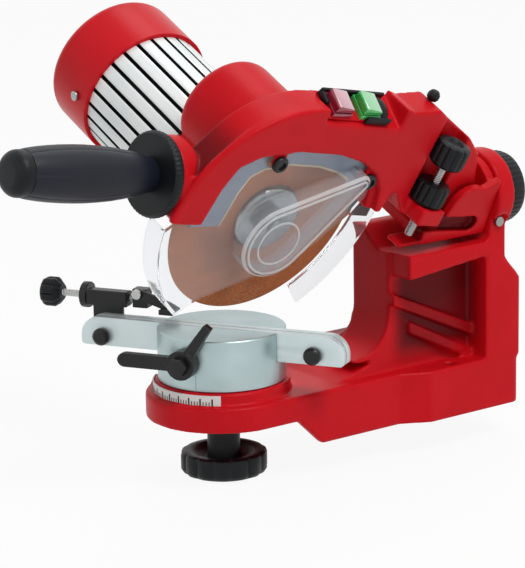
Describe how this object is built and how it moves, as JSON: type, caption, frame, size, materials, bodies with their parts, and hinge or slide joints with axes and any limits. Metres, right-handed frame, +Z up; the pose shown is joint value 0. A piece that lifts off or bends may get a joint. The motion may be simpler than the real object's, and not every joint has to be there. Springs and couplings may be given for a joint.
{
  "type": "electric saw chain sharpener",
  "caption": "Bench mounted electric saw chain sharpener: cast stand with a swivelling rail vise under a tilting, swinging grinding head with motor, disc, clear guards and side handle.",
  "frame": {"origin": "middle of the flat foot where it rests on the bench", "axes": "+X to the right of someone at the front, +Y from the vise back to the post, +Z up"},
  "size_m": [0.2403, 0.412, 0.3063],
  "materials": {
    "red_casting": "die casting with red enamel, semi gloss",
    "red_plastic": "semi gloss red",
    "black_plastic": "fine grained matt black",
    "black_steel": "blackened steel",
    "aluminium": "blasted and machined aluminium",
    "steel": "bright zinc plated",
    "clear_plastic": "clear polycarbonate",
    "abrasive": "bonded abrasive grain, brown",
    "white_label": "white printed strip",
    "winding": "laminated steel with copper winding",
    "red_button": "dark red",
    "green_button": "green"
  },
  "bodies": {
    "stand": {"stand": "red_casting", "angle_scale": "white_label", "tilt_stop_screw": "steel", "lock_washer": "steel"},
    "lock": {"lock_bolt": "steel", "lock_knob": "black_plastic"},
    "vise": {"turntable": "aluminium", "rear_rail": "aluminium", "guide_screw_left": "black_steel", "guide_screw_right": "black_steel", "clamp_stud": "steel", "stop_bracket": "black_steel"},
    "jaw": {"front_jaw": "aluminium"},
    "lever": {"clamp_lever": "black_plastic"},
    "stop_adjuster": {"stop_screw": "steel", "stop_knob": "black_plastic"},
    "carrier": {"stop_carrier": "black_steel", "pawl_pin": "steel"},
    "pawl": {"stop_pawl": "black_steel"},
    "bracket": {"tilt_bracket": "red_casting", "hinge_pin": "steel", "tilt_bolt": "steel"},
    "tilt_lock": {"tilt_knob": "black_plastic"},
    "head": {"head_casting": "red_casting", "motor_housing": "aluminium", "stator": "winding", "motor_cap": "red_plastic", "cap_screw": "steel", "front_bearing": "steel", "rear_bearing": "steel", "handle_flange": "black_plastic", "handle_grip": "black_plastic", "grip_cap": "black_plastic", "handle_stud": "steel", "near_guard": "clear_plastic", "guard_screw_front": "black_steel", "guard_screw_rear": "black_steel", "far_guard": "clear_plastic", "guard_clip": "black_plastic", "switch_housing": "black_plastic", "arm_plug": "black_plastic", "cable_gland": "black_plastic"},
    "disc": {"spindle": "steel", "rotor": "winding", "cooling_fan": "black_plastic", "inner_flange": "steel", "grinding_disc": "abrasive", "outer_flange": "steel", "disc_nut": "steel"},
    "depth_stop": {"depth_screw": "steel"},
    "depth_turner": {"depth_knob": "black_plastic"},
    "depth_lock": {"depth_lock_nut": "black_plastic"},
    "off_button": {"red_button": "red_button"},
    "on_button": {"green_button": "green_button"}
  },
  "joints": [
    {"name": "lock_turn", "type": "hinge", "parent": "stand", "child": "lock", "pos_m": [0, -0.12825, 0], "axis": [0, 0, 1], "range_deg": [0, 360]},
    {"name": "vise_swivel", "type": "hinge", "parent": "stand", "child": "vise", "pos_m": [0, -0.12825, 0.06], "axis": [0, 0, 1], "range_deg": [-65, 5]},
    {"name": "lever_turn", "type": "hinge", "parent": "vise", "child": "lever", "pos_m": [0.01809, -0.17358, 0.064], "axis": [-0.5, 0.866, 0], "range_deg": [-45, 0]},
    {"name": "jaw_slide", "type": "slide", "parent": "vise", "child": "jaw", "axis": [0.5, -0.866, 0], "range_m": [0, 0.00078]},
    {"name": "stop_turn", "type": "hinge", "parent": "vise", "child": "stop_adjuster", "pos_m": [-0.10226, -0.17113, 0.0885], "axis": [0.866, 0.5, 0], "range_deg": [0, 1070]},
    {"name": "stop_slide", "type": "slide", "parent": "vise", "child": "carrier", "axis": [0.866, 0.5, 0], "range_m": [-0.003, 0]},
    {"name": "pawl_flip", "type": "hinge", "parent": "carrier", "child": "pawl", "pos_m": [-0.0626, -0.14823, 0.0937], "axis": [-0.5, 0.866, 0], "range_deg": [-110, 0]},
    {"name": "head_tilt", "type": "hinge", "parent": "stand", "child": "bracket", "pos_m": [0.0423, 0.06175, 0.151], "axis": [0, 1, 0], "range_deg": [-25.5, 9.5]},
    {"name": "tilt_knob_turn", "type": "hinge", "parent": "bracket", "child": "tilt_lock", "pos_m": [0.0423, 0.07675, 0.151], "axis": [0, 1, 0], "range_deg": [-180, 180]},
    {"name": "head_swing", "type": "hinge", "parent": "bracket", "child": "head", "pos_m": [0.04402, 0.03375, 0.15461], "axis": [0.9026, 0, -0.4305], "range_deg": [-24, 2.5]},
    {"name": "disc_spin", "type": "hinge", "parent": "head", "child": "disc", "pos_m": [0.04768, -0.12825, 0.16228], "axis": [0.9026, 0, -0.4305], "continuous": true},
    {"name": "depth_turn", "type": "hinge", "parent": "depth_stop", "child": "depth_turner", "pos_m": [0.06483, -0.00366, 0.15874], "axis": [0.4211, 0.2079, 0.8829], "range_deg": [-720, 1080]},
    {"name": "depth_slide", "type": "slide", "parent": "head", "child": "depth_stop", "axis": [0.4211, 0.2079, 0.8829], "range_m": [-0.003, 0.0045]},
    {"name": "depth_lock_turn", "type": "hinge", "parent": "head", "child": "depth_lock", "pos_m": [0.06651, -0.00283, 0.16227], "axis": [0.4211, 0.2079, 0.8829], "range_deg": [0, 360]},
    {"name": "off_press", "type": "slide", "parent": "head", "child": "off_button", "axis": [-0.7426, -0.1911, -0.6419], "range_m": [0, 0.0018], "stiffness_N_per_m": 400},
    {"name": "on_press", "type": "slide", "parent": "head", "child": "on_button", "axis": [-0.7426, -0.1911, -0.6419], "range_m": [0, 0.0018], "stiffness_N_per_m": 400}
  ],
  "couplings": [
    {"joint": "lever_turn", "follows": "jaw_slide", "rad_per_m": -1000},
    {"joint": "stop_slide", "follows": "stop_turn", "m_per_rad": -0.00015915},
    {"joint": "depth_turn", "follows": "depth_slide", "rad_per_m": 4188.7}
  ]
}
